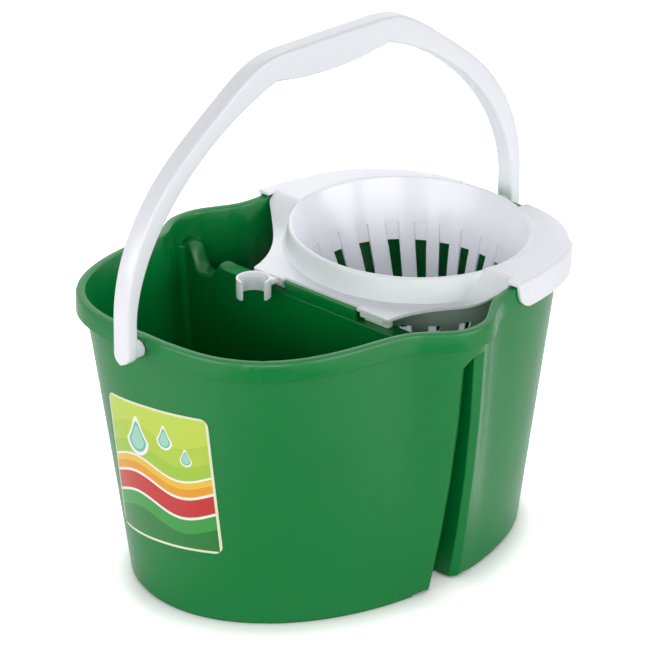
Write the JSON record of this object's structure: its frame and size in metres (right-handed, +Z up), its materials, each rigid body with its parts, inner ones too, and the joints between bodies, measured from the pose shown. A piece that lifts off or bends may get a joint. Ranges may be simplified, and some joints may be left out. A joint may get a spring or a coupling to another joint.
{
  "type": "mop bucket with wringer",
  "caption": "Oval two-compartment mop bucket with a lift-off slotted wringer basket, hooked ears, a pole clip and an arched carrying handle that swings on pegs.",
  "frame": {"origin": "centre of the footprint, on the floor plane under the foot rims", "axes": "+X along the bucket towards the wringer end, +Y across it, +Z up; the handle stands upright over X"},
  "size_m": [0.443, 0.3388, 0.435],
  "materials": {
    "bucket_green": "satin gloss injection-moulded polypropylene",
    "wringer_white": "satin gloss injection-moulded polypropylene",
    "handle_white": "satin gloss injection-moulded polypropylene",
    "label_film": "printed gloss film"
  },
  "bodies": {
    "bucket": {"bucket_body": "bucket_green", "label": "label_film"},
    "wringer": {"wringer": "wringer_white"},
    "handle": {"bail_handle": "handle_white"}
  },
  "joints": [
    {"name": "handle_hinge", "type": "hinge", "parent": "bucket", "child": "handle", "pos_m": [0, 0, 0.232], "axis": [1, 0, 0], "range_deg": [-112, 112]},
    {"name": "wringer_lift", "type": "slide", "parent": "bucket", "child": "wringer", "axis": [0, 0, 1], "range_m": [0, 0.06]}
  ]
}
